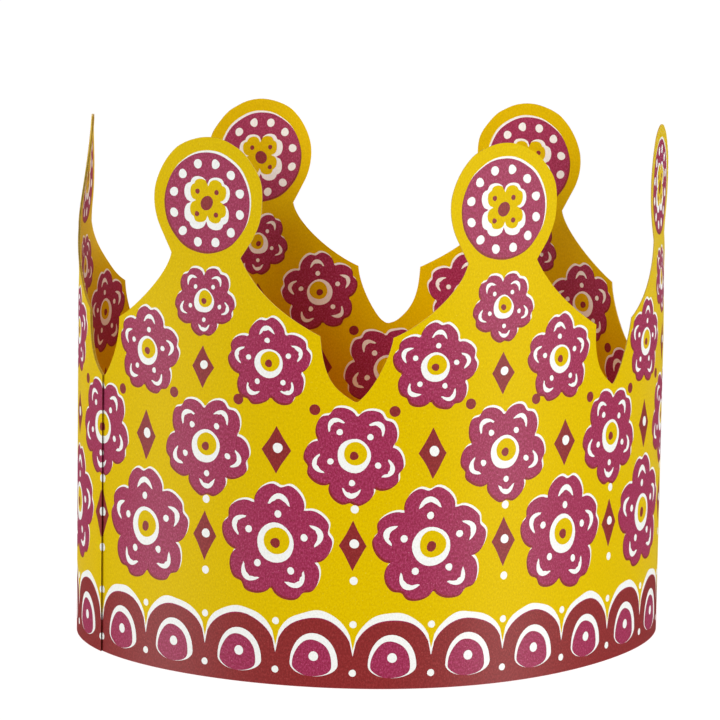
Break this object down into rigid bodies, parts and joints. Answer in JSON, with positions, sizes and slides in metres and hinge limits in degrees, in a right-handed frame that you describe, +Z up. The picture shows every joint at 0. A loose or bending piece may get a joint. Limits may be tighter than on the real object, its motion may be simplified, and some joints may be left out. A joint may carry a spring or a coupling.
{
  "type": "paper crown",
  "caption": "Party crown cut from one printed paper strip, rolled into a ring with a lap; round-headed points and pointed notches along the top, straight bottom edge.",
  "frame": {"origin": "middle of the ring's box, on the plane of the bottom edge", "axes": "+Z up along the ring; -Y is the front, with a notch facing it; the lap's free end is at the left of the front"},
  "size_m": [0.1961, 0.1866, 0.1718],
  "materials": {
    "printed_paper": "matt uncoated paper, printed on both sides"
  },
  "bodies": {
    "root": {"crown_strip": "printed_paper"}
  },
  "joints": []
}
